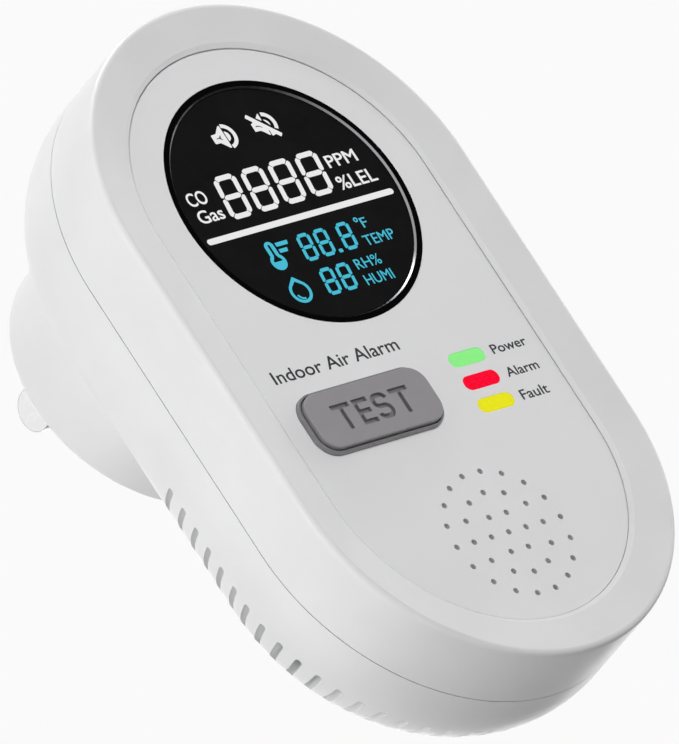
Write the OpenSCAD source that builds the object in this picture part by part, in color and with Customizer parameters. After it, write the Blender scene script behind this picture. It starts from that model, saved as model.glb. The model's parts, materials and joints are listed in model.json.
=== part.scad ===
// Plug-in carbon monoxide and gas alarm with a capsule-shaped body.
// Frame: millimetres, +Z up, the display looks towards -Y and the plug blades point towards +Y.
// The origin is the centre of the round plug boss, on the face that rests against the wall.

/* [Casing] */
// Width of the body, which is also the diameter of its round ends
body_w = 65; // [64:0.5:70]
// Distance between the centres of the upper and lower round ends
end_gap = 45.4; // [45:0.2:50]
// Thickness of the casing walls
wall = 2.2; // [1.8:0.1:2.4]
// Depth from the wall face to the seam between the two shells
seam_depth = 33; // [32.5:0.1:33.5]
// Radius of the large rounding at the back of the body
back_corner = 16.4; // [15.5:0.1:17]
// Small rounding along the front outer edge of the rim
rim_edge = 0.8; // [0.4:0.1:1.2]
// Width of the fine gap along the seam
seam_gap = 0.15; // [0.1:0.05:0.3]

/* [Face panel] */
// Depth from the wall face to the front of the face panel
panel_depth = 43.1; // [42.8:0.1:43.6]
// Height of the rim above the face panel
rim_proud = 1.5; // [0.8:0.1:1.8]
// Radius of the round ends of the face panel
panel_r = 25.7; // [25.4:0.1:26]
// Width of the gap round the face panel
panel_gap = 0.1; // [0.08:0.02:0.2]
// Thickness of the face panel, and of the deck behind it
panel_t = 1.6; // [1.4:0.1:1.8]
// Width of the steeper inner edge, where the sloping rim runs down to the face panel
rim_inner = 0.7; // [0.4:0.05:1]

/* [Display] */
// Outer radius of the black ring round the display
display_r = 20.3; // [19.9:0.1:20.5]
// Width of the flat black ring
bezel_w = 0.9; // [0.7:0.1:1]
// Depth of the bevel between the ring and the lens
bezel_bevel = 0.25; // [0.15:0.05:0.4]

/* [Test button] */
// Width of the button cap
button_w = 23.3; // [21:0.1:24]
// Height of the button cap
button_h = 9; // [8.4:0.1:9.2]
// How far the cap stands above the face panel
button_proud = 1.45; // [1.2:0.05:1.5]
// How far the surround stands above the face panel
surround_proud = 0.75; // [0.6:0.05:0.8]
// Width of the surround, outside the gap
surround_t = 0.3; // [0.25:0.05:0.5]
// Gap between the cap and its surround
button_gap = 0.2; // [0.15:0.05:0.3]
// How far the button can be pressed
button_travel = 0.6; // [0.4:0.1:0.6]
// Depth of the engraved letters
letter_depth = 0.6; // [0.3:0.1:0.7]

/* [Indicator lights] */
// Length of one light window
light_w = 6.65; // [6:0.05:7]
// Height of one light window
light_h = 2.25; // [1.8:0.05:2.4]
// Spacing from one light to the next
light_pitch = 3.88; // [3.8:0.02:4]

/* [Sound holes] */
// Diameter of one sound hole
sound_hole_d = 0.9; // [0.8:0.1:1.4]
// Step from one ring of holes to the next
sound_step = 3.367; // [3.2:0.01:3.45]
// Number of rings round the centre hole
sound_rings = 3; // [1:1:3]

/* [Vents] */
// Width of one vent slot
vent_w = 1.15; // [0.8:0.05:1.4]
// Spacing of the slots along the straight sides
vent_pitch = 3.37; // [3.2:0.01:3.5]
// Number of slots on each straight side
vent_side_count = 6; // [3:1:6]
// Number of slots on each half of the lower round end
vent_end_count = 14; // [6:1:14]
// Angle between the slots of the lower round end
vent_angle = 6.27; // [6:0.01:6.3]

/* [Plug] */
// Radius of the round plug boss
boss_r = 21.9; // [21.5:0.1:22.3]
// Height of the plug boss behind the body
boss_h = 12.8; // [12.5:0.1:13.2]
// Thickness of the boss's side wall
boss_wall = 2.7; // [2.3:0.1:2.7]
// Height of the blades above the centre of the boss
blade_z = 6.8; // [6:0.1:7.2]

/* [Hidden] */
$fn = 96;

// Standard two-blade plug: width, thickness, spacing and reach of the blades
blade_w = 6.35;
blade_t = 1.5;
blade_spacing = 12.7;
blade_reach = 18.2;

// Fit of one part against its neighbour, and an overlap that makes cuts clean
slip = 0.05;
eps = 0.5;

// Radii of the casing
body_r = body_w / 2;
inner_r = body_r - wall;
recess_r = panel_r + panel_gap;

// The face panel sits against the lower right of its recess, [x, z]
PANEL_SIT = [0.03, -0.05];

// Depths of the main faces; the more negative, the nearer to the front
y_back = -boss_h;
y_seam = -seam_depth;
y_rear_edge = y_seam + seam_gap;
y_panel = -panel_depth;
y_rim = y_panel - rim_proud;
y_deck = y_panel + panel_t;
y_deck_back = y_deck + panel_t;
y_board = -35;
board_t = 1.6;
y_board_back = y_board + board_t;
y_power_board = -25;
y_power_back = y_power_board + board_t;

// Display: the ring and the lens are concentric with the upper round end
bezel_in_r = display_r - bezel_w - bezel_bevel;
lens_r = bezel_in_r - 0.1;
y_lens = y_panel + bezel_bevel + slip;
lens_t = 1.2;
deck_display_r = display_r - 0.7;
y_display_back = y_board - 1.5;

// Test button: centre of the cap, corner radius and hidden flange
button_x = -10.15;
button_z = -33.93;
button_corner = 2.9;
button_edge = 0.2;
button_flange = 1;
y_button_flange = y_deck + 0.15;

// Switch under the button: face of its body, and the two ends of its plunger
y_switch = y_board - 3.4;
y_plunger_top = y_board - 4.65;
y_plunger_end = y_board - 2.55;
plunger_r = 1.7;

// Indicator lights: centre of the middle window
light_x = 11.75;
light_z = -33.9;

// Sounder: centre, radius, front face, and radius of the opening in front of it
SOUND_PLACE = [0, -57];
sounder_r = 9.5;
sound_window_r = 11.6;
sound_mesh_t = 0.2;
y_sounder = y_board - 5;

// Vents: depth at which the slots start and end, and their inner radius
y_vent_front = -24.4;
y_vent_back = -16.3;
vent_in_r = 22.3;
vent_first_z = -28.4;

// Places of the posts, as [x, z] pairs
CASE_POSTS = [[-24, -14], [24, -14], [-17, -50], [17, -50]];
BOARD_POSTS = [[-16.5, 17.5], [16.5, 17.5], [-15.5, -65], [15.5, -65]];
POWER_POSTS = [[-15.9, 15.9], [15.9, 15.9], [-15.9, -15.9], [15.9, -15.9]];
CARRIER_POSTS = [[-12.3, blade_z], [12.3, blade_z]];

// Radii of the posts, and of the cups that the case screws' heads sit in
case_boss_r = 3;
board_post_r = 2.5;
case_post_r = 3.2;
case_cup_r = 4.1;
power_post_r = 2;
carrier_post_r = 2.2;

// Screws: [shank radius, head radius, head height]
CASE_SCREW = [1.3, 2.6, 1.8];
BOARD_SCREW = [1, 2.1, 1.5];
SMALL_SCREW = [0.9, 1.8, 1.3];

// Depths at which the screws' heads rest and their shanks end
y_case_seat = -19;
y_case_screw_end = y_deck_back + 1.6;
y_board_screw_end = y_board - 3;
y_power_screw_end = y_power_back + 4.8;
y_carrier_screw_end = -1.8;

// Room past a shank's end, round a shank that passes through, and round a sunk head
pilot_spare = 0.4;
shank_room = 0.15;
head_room = 0.3;

// Sensors on the back of the main board, as [x, z]
GAS_PLACE = [0, -61.5];
CO_PLACE = [0, -41.5];
HUMIDITY_PLACE = [20, -36];
gas_base_r = 8.5;
gas_base_t = 3;

// Link between the two boards: height on the boards, number of pins and their spacing
pin_pitch = 2.54;
header_z = -19.2;
header_count = 5;
header_t = 2.5;
PIN_X = [for (i = [0 : header_count - 1]) (i - (header_count - 1) / 2) * pin_pitch];

// Transformer: place on the board, size of the ferrite frame, and its outer and middle legs
TRANSFORMER_PLACE = [-5, 0];
core_w = 13;
core_h = 6;
core_len = 9.5;
core_leg = 2.1;
core_mid = 3;
y_core = y_power_back + 1;

// Plug: spigot of the housing, insulating carrier, and wide heads of the blades inside it
spigot_r = 20.25;
y_carrier = -wall - slip;
y_carrier_in = y_carrier - 4.75;
y_carrier_post = -5.2;
blade_head_w = 8.6;
blade_head_t = 2.35;

// ---------- shapes that several parts share ----------

// Extrudes a drawing made in X and Z from depth y0 to depth y1
module slab(y0, y1) {
    translate([0, y1, 0])
        rotate([90, 0, 0])
            linear_extrude(y1 - y0)
                children();
}

// Turns a half profile (X is the radius, Y is the depth) round the depth axis
module turned() {
    rotate([-90, 0, 0])
        rotate_extrude()
            children();
}

// A round rod or disc along the depth axis, at [x, z]
module rod(place, r, y0, y1) {
    translate([place[0], y0, place[1]])
        rotate([-90, 0, 0])
            cylinder(h = y1 - y0, r = r);
}

// A box given by its middle in X and Z, its size there, and its two depths
module block(place, w, h, y0, y1) {
    translate([place[0] - w / 2, y0, place[1] - h / 2])
        cube([w, y1 - y0, h]);
}

// Sweeps a half profile round the capsule outline of the body
module capsule_sweep() {
    rotate([-90, 0, 0])
        rotate([0, 0, 180])
            rotate_extrude(angle = 180)
                children();
    translate([0, 0, -end_gap]) {
        rotate([-90, 0, 0])
            rotate_extrude(angle = 180)
                children();
        linear_extrude(end_gap) {
            children();
            mirror([1, 0])
                children();
        }
    }
}

// Half profile of a solid cup: a straight side, a round corner and a flat floor
module cup2d(r, corner, y_open, y_floor) {
    y_turn = y_floor - corner;
    translate([0, y_open])
        square([r, y_turn - y_open]);
    translate([0, y_turn])
        square([r - corner, corner]);
    translate([r - corner, y_turn])
        intersection() {
            circle(corner);
            square(corner);
        }
}

// Capsule outline of end radius r
module capsule2d(r) {
    circle(r);
    translate([0, -end_gap])
        circle(r);
    translate([-r, -end_gap])
        square([2 * r, end_gap]);
}

// Rectangle with round corners, centred
module round_rect2d(w, h, r) {
    square([w - 2 * r, h], center = true);
    square([w, h - 2 * r], center = true);
    for (sx = [-1, 1], sz = [-1, 1])
        translate([sx * (w / 2 - r), sz * (h / 2 - r)])
            circle(r);
}

// Bar with two round ends along X, centred
module pill2d(w, h) {
    square([w - h, h], center = true);
    for (sx = [-1, 1])
        translate([sx * (w - h) / 2, 0])
            circle(h / 2);
}

// Screws along the depth axis: the head fills from y_seat away from the shank's end
module screw(place, kind, y_seat, y_end) {
    way = y_end > y_seat ? 1 : -1;
    y_head = y_seat - way * kind[2];
    rod(place, kind[0], min(y_seat, y_end), max(y_seat, y_end));
    difference() {
        rod(place, kind[1], min(y_seat, y_head), max(y_seat, y_head));
        cross_drive(place, kind, y_head, way);
    }
}

// Cross-shaped drive recess in a screw head
module cross_drive(place, kind, y_head, way) {
    arm = kind[1] * 1.1;
    arm_t = kind[1] * 0.28;
    deep = kind[2] * 0.55;
    y0 = way > 0 ? y_head - eps : y_head - deep;
    y1 = way > 0 ? y_head + deep : y_head + eps;
    block(place, arm, arm_t, y0, y1);
    block(place, arm_t, arm, y0, y1);
}

// ---------- casing ----------

// Outline of the button cap, grown by g on every side
module button2d(g) {
    translate([button_x, button_z])
        round_rect2d(button_w + 2 * g, button_h + 2 * g, button_corner + g);
}

// Centre of one light window; n is 0 for the top one
function light_place(n) = [light_x, light_z + (1 - n) * light_pitch];

// Recess for the face panel: the rim slopes gently inwards, then more steeply at its inner edge
module panel_recess2d() {
    y_open = y_rim - eps;
    y_foot = y_panel - slip;
    inner_drop = 0.45;
    slope_r = body_r - rim_edge - slip;
    polygon([
        [0, y_open],
        [slope_r, y_open],
        [slope_r, y_rim],
        [recess_r + rim_inner, y_foot - inner_drop],
        [recess_r, y_foot],
        [recess_r, y_deck],
        [0, y_deck]
    ]);
}

// Hollow under the rim and behind the deck
module front_hollow2d() {
    rim_wall = 2.15;
    y_under_rim = y_rim + 2.6;
    translate([recess_r + rim_wall, y_under_rim])
        square([inner_r - recess_r - rim_wall, y_seam + eps - y_under_rim]);
    translate([0, y_deck_back])
        square([recess_r + rim_wall + slip, y_seam + eps - y_deck_back]);
}

module front_shell() {
    flange_room = 0.35;
    light_margin = 1.1;
    light_window_w = light_w + 2 * light_margin;
    light_window_h = 2 * light_pitch + light_h + 2 * light_margin;
    color("gainsboro")
        difference() {
            union() {
                difference() {
                    capsule_sweep()
                        mirror([0, 1])
                            cup2d(body_r, rim_edge, -y_seam, -y_rim);
                    capsule_sweep()
                        front_hollow2d();
                }
                for (p = CASE_POSTS)
                    rod(p, case_boss_r, y_deck_back - slip, y_board);
                for (p = BOARD_POSTS)
                    rod(p, board_post_r, y_deck_back - slip, y_board);
            }
            capsule_sweep()
                panel_recess2d();
            rod([0, 0], deck_display_r, y_deck - eps, y_deck_back + eps);
            slab(y_deck - eps, y_deck_back + eps)
                button2d(button_flange + flange_room);
            block(light_place(1), light_window_w, light_window_h, y_deck - eps, y_deck_back + eps);
            rod(SOUND_PLACE, sound_window_r, y_deck - eps, y_deck_back + eps);
            for (p = CASE_POSTS)
                rod(p, CASE_SCREW[0] + slip, y_case_screw_end - pilot_spare, y_board + eps);
            for (p = BOARD_POSTS)
                rod(p, BOARD_SCREW[0] + slip, y_board_screw_end - pilot_spare, y_board + eps);
        }
}

module face_panel() {
    panel_edge = 0.2;
    color("lightgray")
        difference() {
            translate([PANEL_SIT[0], 0, PANEL_SIT[1]])
                capsule_sweep()
                    mirror([0, 1])
                        cup2d(panel_r, panel_edge, -y_deck, -y_panel);
            rod([0, 0], display_r + slip, y_panel - eps, y_deck + eps);
            slab(y_panel - eps, y_deck + eps)
                button2d(button_gap + surround_t + slip);
            for (n = [0 : 2])
                slab(y_panel - eps, y_deck + eps)
                    translate(light_place(n))
                        pill2d(light_w + 2 * slip, light_h + 2 * slip);
            translate([SOUND_PLACE[0], 0, SOUND_PLACE[1]])
                sound_holes(y_panel - eps, y_deck + eps);
        }
}

// Centre hole and rings of 6, 12 and 18 holes
module sound_holes(y0, y1) {
    rod([0, 0], sound_hole_d / 2, y0, y1);
    for (ring = [1 : sound_rings], i = [0 : 6 * ring - 1]) {
        a = i * 60 / ring;
        rod([ring * sound_step * cos(a), ring * sound_step * sin(a)], sound_hole_d / 2, y0, y1);
    }
}

// One vent slot through the side wall at +X, level with Z = 0
module vent_cut() {
    y0 = y_vent_front + vent_w / 2;
    y1 = y_vent_back - vent_w / 2;
    translate([vent_in_r, 0, 0])
        rotate([0, 90, 0])
            linear_extrude(body_r - vent_in_r + eps) {
                translate([-vent_w / 2, y0])
                    square([vent_w, y1 - y0]);
                translate([0, y0])
                    circle(vent_w / 2);
                translate([0, y1])
                    circle(vent_w / 2);
            }
}

// All the vent slots: down both sides, then round the lower end
module vents() {
    for (side = [0, 180], i = [0 : vent_side_count - 1])
        translate([0, 0, vent_first_z - i * vent_pitch])
            rotate([0, 0, side])
                mirror([0, side / 180, 0])
                    vent_cut();
    for (side = [-1, 1], i = [0 : vent_end_count - 1])
        translate([0, 0, -end_gap])
            rotate([0, 90 + side * (i + 0.5) * vent_angle, 0])
                vent_cut();
}

// Lip inside the seam, which lines the two shells up
module seam_lip2d() {
    lip_t = 0.95;
    lip_reach = 2;
    root_h = 2;
    root_t = lip_t + 4 * slip;
    translate([inner_r - lip_t - slip, y_rear_edge - lip_reach])
        square([lip_t, lip_reach + root_h]);
    translate([inner_r - lip_t - slip, y_rear_edge])
        square([root_t, root_h]);
}

// The post moulded into the back of the body at each screw, cut off flush with the outside
module rear_posts() {
    intersection() {
        capsule_sweep()
            cup2d(body_r, back_corner, y_board_back, y_back);
        union() {
            for (p = CASE_POSTS) {
                rod(p, case_post_r, y_board_back, y_case_seat);
                rod(p, case_cup_r, y_case_seat - wall, y_back);
            }
            for (p = POWER_POSTS)
                rod(p, power_post_r, y_power_back, y_back - wall / 2);
        }
    }
}

module rear_shell() {
    y_floor = y_back - wall;
    color("whitesmoke")
        difference() {
            union() {
                difference() {
                    capsule_sweep()
                        cup2d(body_r, back_corner, y_rear_edge, y_back);
                    capsule_sweep()
                        cup2d(inner_r, back_corner - wall, y_rear_edge - eps, y_floor);
                }
                capsule_sweep()
                    seam_lip2d();
                rear_posts();
            }
            rod([0, 0], spigot_r + slip, y_floor - 2 * eps, y_back + eps);
            vents();
            for (p = CASE_POSTS) {
                rod(p, CASE_SCREW[0] + shank_room, y_board_back - eps, y_case_seat + eps);
                rod(p, CASE_SCREW[1] + head_room, y_case_seat, y_back + eps);
            }
            for (p = POWER_POSTS)
                rod(p, SMALL_SCREW[0] + slip, y_power_back - eps, y_power_screw_end + pilot_spare);
        }
}

// Round cup on the back of the body: its edge follows the body, and its spigot goes inside
module plug_housing() {
    boss_edge = 1;
    blade_fit = 0.1;
    color("whitesmoke")
        difference() {
            union() {
                difference() {
                    turned()
                        cup2d(boss_r, boss_edge, y_back - wall, 0);
                    difference() {
                        capsule_sweep()
                            cup2d(body_r, back_corner, y_rear_edge, y_back);
                        rod([0, 0], spigot_r, y_back - 2 * wall, y_back + eps);
                    }
                    rod([0, 0], boss_r - boss_wall, y_back - wall - eps, -wall);
                }
                for (p = CARRIER_POSTS)
                    rod(p, carrier_post_r, y_carrier_post, -wall + slip);
            }
            for (p = CARRIER_POSTS)
                rod(p, BOARD_SCREW[0] + slip, y_carrier_post - eps, y_carrier_screw_end + pilot_spare);
            for (side = [-1, 1])
                block([side * blade_spacing / 2, blade_z], blade_t + 2 * blade_fit,
                    blade_w + 2 * blade_fit, -wall - eps, eps);
        }
}

module case_screws() {
    color("silver")
        for (p = CASE_POSTS)
            screw(p, CASE_SCREW, y_case_seat, y_case_screw_end);
}

// ---------- display ----------

module display_bezel() {
    color("black")
        turned()
            polygon([
                [bezel_in_r, y_panel + bezel_bevel],
                [bezel_in_r + bezel_bevel, y_panel],
                [display_r, y_panel],
                [display_r, y_deck],
                [bezel_in_r, y_deck]
            ]);
}

module display_lens() {
    color([0.09, 0.09, 0.1])
        rod([0, 0], lens_r, y_lens, y_lens + lens_t);
}

// Round light guide with the square glass cell and its two side clips behind the lens
module display_module() {
    guide_t = 1.1;
    cell = 26;
    clip_w = 4;
    clip_h = 8;
    clip_x = 14.5;
    y_guide = y_lens + lens_t + slip;
    y_cell = y_guide + guide_t;
    color("dimgray") {
        rod([0, 0], lens_r, y_guide, y_cell);
        block([0, 0], cell, cell, y_cell - slip, y_display_back);
        for (side = [-1, 1])
            block([side * clip_x, 0], clip_w, clip_h, y_cell - slip, y_display_back);
    }
}

// Two rows of pins from the display to the main board
module display_pins() {
    row_z = 11.5;
    pins_each_side = 4;
    pin_t = 0.6;
    color("gold")
        for (row = [-1, 1], i = [-pins_each_side : pins_each_side])
            block([i * pin_pitch, row * row_z], pin_t, pin_t, y_display_back, y_board);
}

// ---------- test button and its switch ----------

// Slab with round corners and a rounded front edge
module soft_plate(w, h, r, edge, y0, y1) {
    for (sx = [-1, 1], sz = [-1, 1])
        translate([sx * (w / 2 - r), 0, sz * (h / 2 - r)])
            turned()
                mirror([0, 1])
                    cup2d(r, edge, -y1, -y0);
    soft_bar(w - 2 * r, h, edge, y0, y1);
    rotate([0, 90, 0])
        soft_bar(h - 2 * r, w, edge, y0, y1);
}

// Straight bar along X whose two front edges are rounded
module soft_bar(length, h, edge, y0, y1) {
    translate([-length / 2, 0, 0])
        rotate([0, 90, 0])
            linear_extrude(length)
                for (side = [0, 1])
                    mirror([side, 0])
                        mirror([0, 1])
                            cup2d(h / 2, edge, -y1, -y0);
}

// Arc of a round stroke from angle a0 to angle a1
module arc2d(mid_r, stroke, a0, a1) {
    steps = 6;
    reach = 2 * mid_r;
    fan = [for (i = [0 : steps]) let (a = a0 + (a1 - a0) * i / steps) reach * [cos(a), sin(a)]];
    intersection() {
        difference() {
            circle(mid_r + stroke / 2);
            circle(mid_r - stroke / 2);
        }
        polygon(concat([[0, 0]], fan));
    }
}

// Capital T of height h, centred
module letter_t2d(w, h, stroke) {
    translate([-w / 2, h / 2 - stroke])
        square([w, stroke]);
    translate([-stroke / 2, -h / 2])
        square([stroke, h]);
}

// Capital E of height h, centred, with a shorter middle bar
module letter_e2d(w, h, stroke) {
    middle_w = 0.92 * w;
    translate([-w / 2, -h / 2])
        square([stroke, h]);
    for (level = [-1, 0, 1])
        translate([-w / 2, level * (h - stroke) / 2 - stroke / 2])
            square([level == 0 ? middle_w : w, stroke]);
}

// Capital S of height h, centred: two bends joined by three bars
module letter_s2d(w, h, stroke) {
    bend_r = (h - stroke) / 4;
    bend_x = w / 2 - bend_r - stroke / 2;
    tip_angle = 15;
    for (turn = [0, 180])
        rotate(turn) {
            translate([-bend_x, bend_r])
                arc2d(bend_r, stroke, 90, 270);
            translate([bend_x, bend_r])
                arc2d(bend_r, stroke, tip_angle, 90);
            translate([-bend_x, 2 * bend_r - stroke / 2])
                square([2 * bend_x, stroke]);
        }
    translate([-bend_x, -stroke / 2])
        square([2 * bend_x, stroke]);
}

// The word TEST, with the middle of each letter in letter_x
module test_word2d() {
    letter_h = 4.2;
    stroke = 0.75;
    t_w = 3.5;
    e_w = 2.8;
    s_w = 3.2;
    letter_x = [-5.65, -1.85, 1.6, 5.55];
    for (x = [letter_x[0], letter_x[3]])
        translate([x, 0])
            letter_t2d(t_w, letter_h, stroke);
    translate([letter_x[1], 0])
        letter_e2d(e_w, letter_h, stroke);
    translate([letter_x[2], 0])
        letter_s2d(s_w, letter_h, stroke);
}

// Fixed ring that the cap slides in
module button_surround() {
    y_top = y_panel - surround_proud;
    color("gray")
        difference() {
            translate([button_x, 0, button_z])
                soft_plate(button_w + 2 * (button_gap + surround_t),
                    button_h + 2 * (button_gap + surround_t),
                    button_corner + button_gap + surround_t, button_edge / 2, y_top, y_deck);
            slab(y_top - eps, y_deck + eps)
                button2d(button_gap);
        }
}

// Engraved cap with its hidden flange and the stem that pushes the switch
module test_button() {
    y_top = y_panel - button_proud;
    y_flange_back = y_button_flange + 1;
    stem_gap = 0.1;
    word_drop = 0.13;
    skin = 1.2;
    stem_r = 2.2;
    color("gray")
        difference() {
            union() {
                translate([button_x, 0, button_z])
                    soft_plate(button_w, button_h, button_corner, button_edge,
                        y_top, y_flange_back);
                slab(y_button_flange, y_flange_back)
                    button2d(button_flange);
                rod([button_x, button_z], stem_r, y_top + skin, y_plunger_top - stem_gap);
            }
            difference() {
                slab(y_top + skin, y_flange_back + eps)
                    button2d(-skin);
                rod([button_x, button_z], stem_r, y_top, y_flange_back + 2 * eps);
            }
            slab(y_top - eps, y_top + letter_depth)
                translate([button_x, button_z - word_drop])
                    test_word2d();
        }
}

// Square switch with a hole that its plunger can travel in, and four short legs
module switch_body() {
    switch_w = 6;
    bore_r = plunger_r + 0.2;
    bottom_room = 0.15;
    leg = [0.9, 0.7, 0.8];
    leg_x = 3.4;
    leg_z = 2.2;
    color("black")
        difference() {
            block([button_x, button_z], switch_w, switch_w, y_switch, y_board);
            rod([button_x, button_z], bore_r, y_switch - eps, y_plunger_end + button_travel + bottom_room);
        }
    color("silver")
        for (sx = [-1, 1], sz = [-1, 1])
            block([button_x + sx * leg_x, button_z + sz * leg_z], leg[0], leg[1], y_board - leg[2], y_board);
}

module switch_plunger() {
    color("white")
        rod([button_x, button_z], plunger_r, y_plunger_top, y_plunger_end);
}

// ---------- indicator lights ----------

// Clear guide: window in the panel, flange behind it, and a stem towards the light source
module light_pipe(n) {
    flange_grow = 1;
    flange_t = 0.8;
    stem_w = 4;
    stem_h = 1.7;
    y_stem = y_board - 1.6;
    slab(y_panel, y_deck)
        translate(light_place(n))
            pill2d(light_w, light_h);
    slab(y_deck, y_deck + flange_t)
        translate(light_place(n))
            pill2d(light_w + flange_grow, light_h + flange_grow);
    block(light_place(n), stem_w, stem_h, y_deck, y_stem);
}

// Surface-mounted light source with its round lens
module led(n) {
    led_w = 3.2;
    led_h = 1.7;
    y_led = y_board - 0.7;
    led_lens_r = 0.75;
    led_lens_t = 0.6;
    block(light_place(n), led_w, led_h, y_led, y_board);
    rod(light_place(n), led_lens_r, y_led - led_lens_t, y_led);
}

module power_light_pipe() {
    color("lightgreen")
        light_pipe(0);
}

module alarm_light_pipe() {
    color("crimson")
        light_pipe(1);
}

module fault_light_pipe() {
    color("gold")
        light_pipe(2);
}

module power_led() {
    color("ivory")
        led(0);
}

module alarm_led() {
    color("ivory")
        led(1);
}

module fault_led() {
    color("ivory")
        led(2);
}

// ---------- sounder ----------

// Fine screen behind the sound holes
module sound_mesh() {
    color("dimgray")
        rod(SOUND_PLACE, sound_window_r - 4 * slip, y_deck, y_deck + sound_mesh_t);
}

// Soft ring between the screen and the sounder
module sounder_gasket() {
    gasket_r = sounder_r + 1;
    gasket_in_r = sounder_r - 1.4;
    color("darkslategray")
        difference() {
            rod(SOUND_PLACE, gasket_r, y_deck + sound_mesh_t, y_sounder);
            rod(SOUND_PLACE, gasket_in_r, y_deck - eps, y_sounder + eps);
        }
}

// Round sounder with a ring groove and its sound opening in the front
module sounder() {
    mouth_r = 1.5;
    mouth_t = 1;
    groove_in_r = 3;
    groove_r = sounder_r - 1.6;
    groove_t = 0.4;
    color("black")
        difference() {
            rod(SOUND_PLACE, sounder_r, y_sounder, y_board);
            rod(SOUND_PLACE, mouth_r, y_sounder - eps, y_sounder + mouth_t);
            difference() {
                rod(SOUND_PLACE, groove_r, y_sounder - eps, y_sounder + groove_t);
                rod(SOUND_PLACE, groove_in_r, y_sounder - 2 * eps, y_sounder + mouth_t);
            }
        }
}

// ---------- main board and sensors ----------

module main_board() {
    board_r = 27;
    color("darkgreen")
        difference() {
            slab(y_board, y_board_back)
                capsule2d(board_r);
            for (p = CASE_POSTS)
                rod(p, CASE_SCREW[0] + shank_room, y_board - eps, y_board_back + eps);
            for (p = BOARD_POSTS)
                rod(p, BOARD_SCREW[0] + shank_room, y_board - eps, y_board_back + eps);
        }
}

module board_screws() {
    color("silver")
        for (p = BOARD_POSTS)
            screw(p, BOARD_SCREW, y_board_back, y_board_screw_end);
}

// A row of small resistors and capacitors, and three driver chips, on the back of the main board
module board_chips() {
    row_each_side = 4;
    row_pitch = 3.2;
    row_z = -26;
    small = [1.2, 2, 0.6];
    side_chip = [5, 4, 1.5];
    side_chip_x = 16;
    lower_chip = [4, 4, 1.2];
    color("saddlebrown")
        for (i = [-row_each_side : row_each_side])
            board_part([i * row_pitch, row_z], small);
    color("black") {
        for (side = [-1, 1])
            board_part([side * side_chip_x, 2], side_chip);
        board_part([-20, -32], lower_chip);
    }
}

// A part of size [width, height, thickness] on the back of the main board, at [x, z]
module board_part(place, size) {
    block(place, size[0], size[1], y_board_back, y_board_back + size[2]);
}

// Square chip with legs along two sides
module microcontroller() {
    chip_w = 9;
    chip_z = 8;
    y0 = y_board_back + 0.2;
    y1 = y_board_back + 1.6;
    legs = 8;
    leg_pitch = 0.9;
    leg = [1.3, 0.4, 0.5];
    leg_x = (chip_w + leg[0]) / 2 - slip;
    color([0.12, 0.12, 0.13])
        block([0, chip_z], chip_w, chip_w, y0, y1);
    color("silver")
        for (side = [-1, 1], i = [0 : legs - 1])
            board_part([side * leg_x, chip_z + (i - (legs - 1) / 2) * leg_pitch], leg);
}

// Turns a half profile round a depth axis through [x, z]
module turned_at(place) {
    translate([place[0], 0, place[1]])
        turned()
            children();
}

// Moulded base of the gas sensor
module gas_sensor_base() {
    color("saddlebrown")
        rod(GAS_PLACE, gas_base_r, y_board_back, y_board_back + gas_base_t);
}

// Steel can of the gas sensor: a crimped foot, a straight wall and an open mouth with a screen
module gas_sensor_can() {
    y0 = y_board_back + gas_base_t;
    y1 = y0 + 8;
    can_r = 7.6;
    foot_t = 0.8;
    skin = 0.5;
    mouth_r = can_r - 2;
    color("silver")
        turned_at(GAS_PLACE)
            difference() {
                union() {
                    translate([0, y0])
                        square([gas_base_r, foot_t]);
                    translate([0, y0])
                        square([can_r, y1 - y0]);
                }
                translate([0, y0 - eps])
                    square([can_r - skin, y1 - y0 - skin + eps]);
                translate([0, y0])
                    square([mouth_r, y1 - y0 + eps]);
            }
    color("gray")
        rod(GAS_PLACE, can_r - skin, y1 - 2 * skin, y1 - skin);
}

// Electrochemical carbon monoxide cell with a stepped cap and a small inlet
module co_sensor() {
    cell_r = 7.8;
    cell_t = 7;
    cap_r = 6.9;
    cap_t = 2.4;
    inlet_r = 1.6;
    inlet_t = 0.8;
    color("silver")
        turned_at(CO_PLACE)
            translate([0, y_board_back])
                difference() {
                    union() {
                        square([cell_r, cell_t]);
                        square([cap_r, cell_t + cap_t]);
                    }
                    translate([0, cell_t + cap_t - inlet_t])
                        square([inlet_r, inlet_t + eps]);
                }
}

// Small square sensor with a round inlet
module humidity_sensor() {
    size = [3, 3, 1.1];
    inlet_r = 0.5;
    inlet_t = 0.4;
    color("ivory")
        difference() {
            board_part(HUMIDITY_PLACE, size);
            rod(HUMIDITY_PLACE, inlet_r, y_board_back + size[2] - inlet_t, y_board_back + size[2] + eps);
        }
}

// ---------- link between the two boards ----------

// Pins with the black strip that holds them on the power board
module header_pins() {
    pin_t = 0.64;
    color("gold")
        for (x = PIN_X)
            block([x, header_z], pin_t, pin_t, y_board_back + 1, y_power_board);
    color("black")
        block([0, header_z], header_count * pin_pitch, header_t, y_power_board - header_t, y_power_board);
}

// Socket on the main board, with a hole for each pin
module header_socket() {
    y_top = y_power_board - header_t - 0.3;
    pin_hole = 0.8;
    floor_t = 0.6;
    color("black")
        difference() {
            block([0, header_z], header_count * pin_pitch, header_t, y_board_back, y_top);
            for (x = PIN_X)
                block([x, header_z], pin_hole, pin_hole, y_board_back + floor_t, y_top + eps);
        }
}

// ---------- power supply ----------

module power_board() {
    power_board_r = 24.3;
    color("darkgreen")
        difference() {
            rod([0, 0], power_board_r, y_power_board, y_power_back);
            for (p = POWER_POSTS)
                rod(p, SMALL_SCREW[0] + shank_room, y_power_board - eps, y_power_back + eps);
        }
}

module power_board_screws() {
    color("silver")
        for (p = POWER_POSTS)
            screw(p, SMALL_SCREW, y_power_board, y_power_screw_end);
}

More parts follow.
